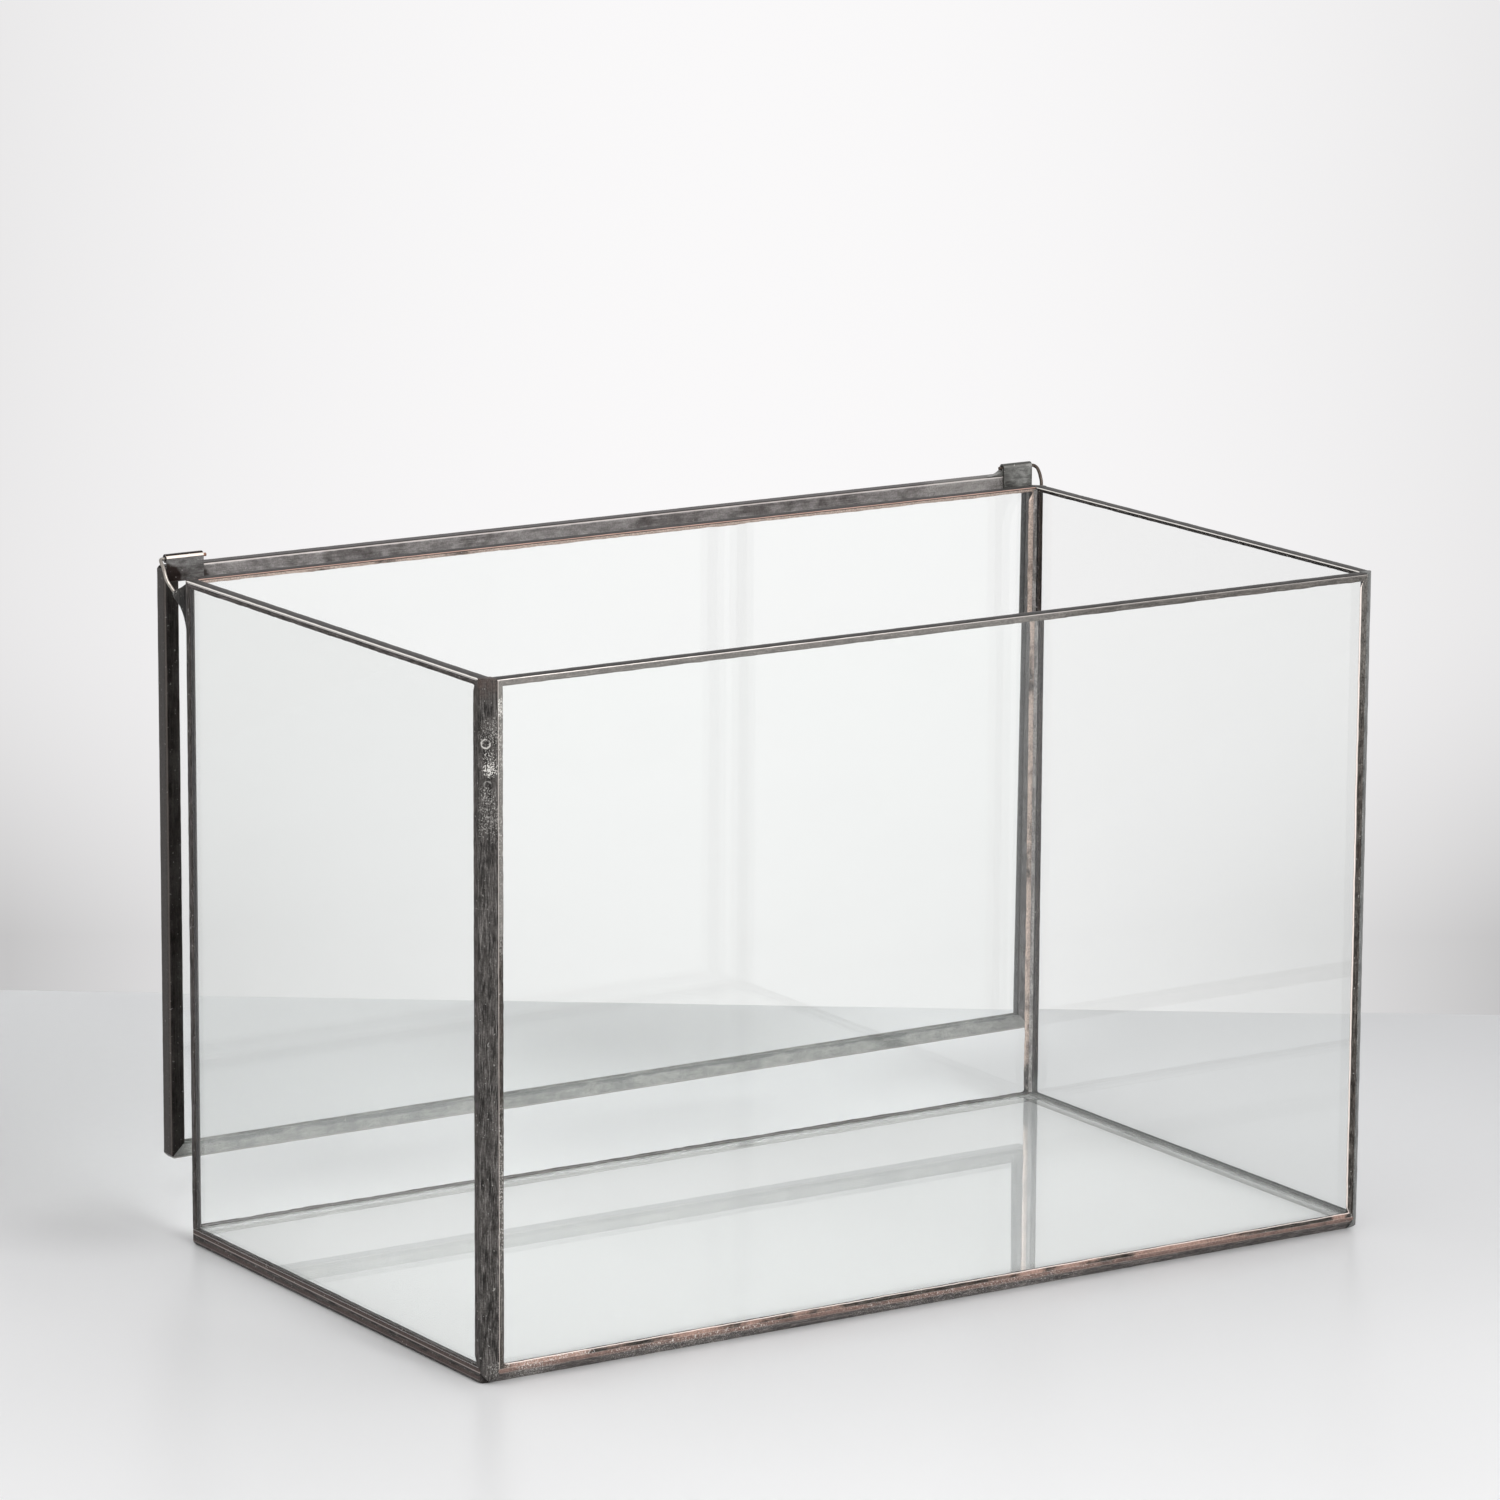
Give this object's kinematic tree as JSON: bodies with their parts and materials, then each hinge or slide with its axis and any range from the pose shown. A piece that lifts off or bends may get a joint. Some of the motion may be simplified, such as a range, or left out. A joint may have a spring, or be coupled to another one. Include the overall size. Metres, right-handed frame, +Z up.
{
  "type": "glass terrarium",
  "caption": "Open rectangular box of glass panes joined by copper foil and dark solder, with a hinged glass lid that swings right over and hangs behind.",
  "frame": {"origin": "bottom centre of the whole object's bounding box at rest, lid hanging behind, on the surface it stands on", "axes": "+X to the right along the front, +Y from front to back, +Z up"},
  "size_m": [0.2558, 0.1516, 0.169],
  "materials": {
    "glass": "clear, faintly green, polished",
    "copper_foil": "copper foil, tinned and darkened, pink copper showing in places",
    "solder": "solder with a dark grey-brown patina and lighter rubbed streaks",
    "lid_border": "U-shaped strip, tinned, dark patina",
    "hinge_tube": "rolled sheet, tinned, dark patina with rubbed highlights",
    "hinge_wire": "tinned copper wire, light grey-brown"
  },
  "bodies": {
    "box": {"base_pane": "glass", "front_pane": "glass", "back_pane": "glass", "left_pane": "glass", "right_pane": "glass", "base_foil": "copper_foil", "front_foil": "copper_foil", "back_foil": "copper_foil", "left_foil": "copper_foil", "right_foil": "copper_foil", "corner_seam_front_left": "solder", "corner_seam_front_right": "solder", "corner_seam_back_left": "solder", "corner_seam_back_right": "solder", "bottom_seam_front": "solder", "bottom_seam_back": "solder", "bottom_seam_left": "solder", "bottom_seam_right": "solder", "rim_bead_front": "solder", "rim_bead_back": "solder", "rim_bead_left": "solder", "rim_bead_right": "solder", "inner_base_bead_front": "solder", "inner_base_bead_back": "solder", "inner_base_bead_left": "solder", "inner_base_bead_right": "solder", "inner_corner_bead_front_left": "solder", "inner_corner_bead_front_right": "solder", "inner_corner_bead_back_left": "solder", "inner_corner_bead_back_right": "solder", "hinge_wire_left": "hinge_wire", "hinge_wire_right": "hinge_wire", "wire_gusset_left": "solder", "wire_gusset_right": "solder"},
    "lid": {"lid_pane": "glass", "lid_border_hinge_side": "lid_border", "lid_border_right": "lid_border", "lid_border_front": "lid_border", "lid_border_left": "lid_border", "hinge_knuckle_left": "hinge_tube", "hinge_knuckle_right": "hinge_tube", "leaf_fillet_right": "solder"}
  },
  "joints": [
    {"name": "lid_hinge", "type": "hinge", "parent": "box", "child": "lid", "pos_m": [0, 0.07235, 0.1679], "axis": [1, 0, 0], "range_deg": [-1.5, 270]}
  ]
}
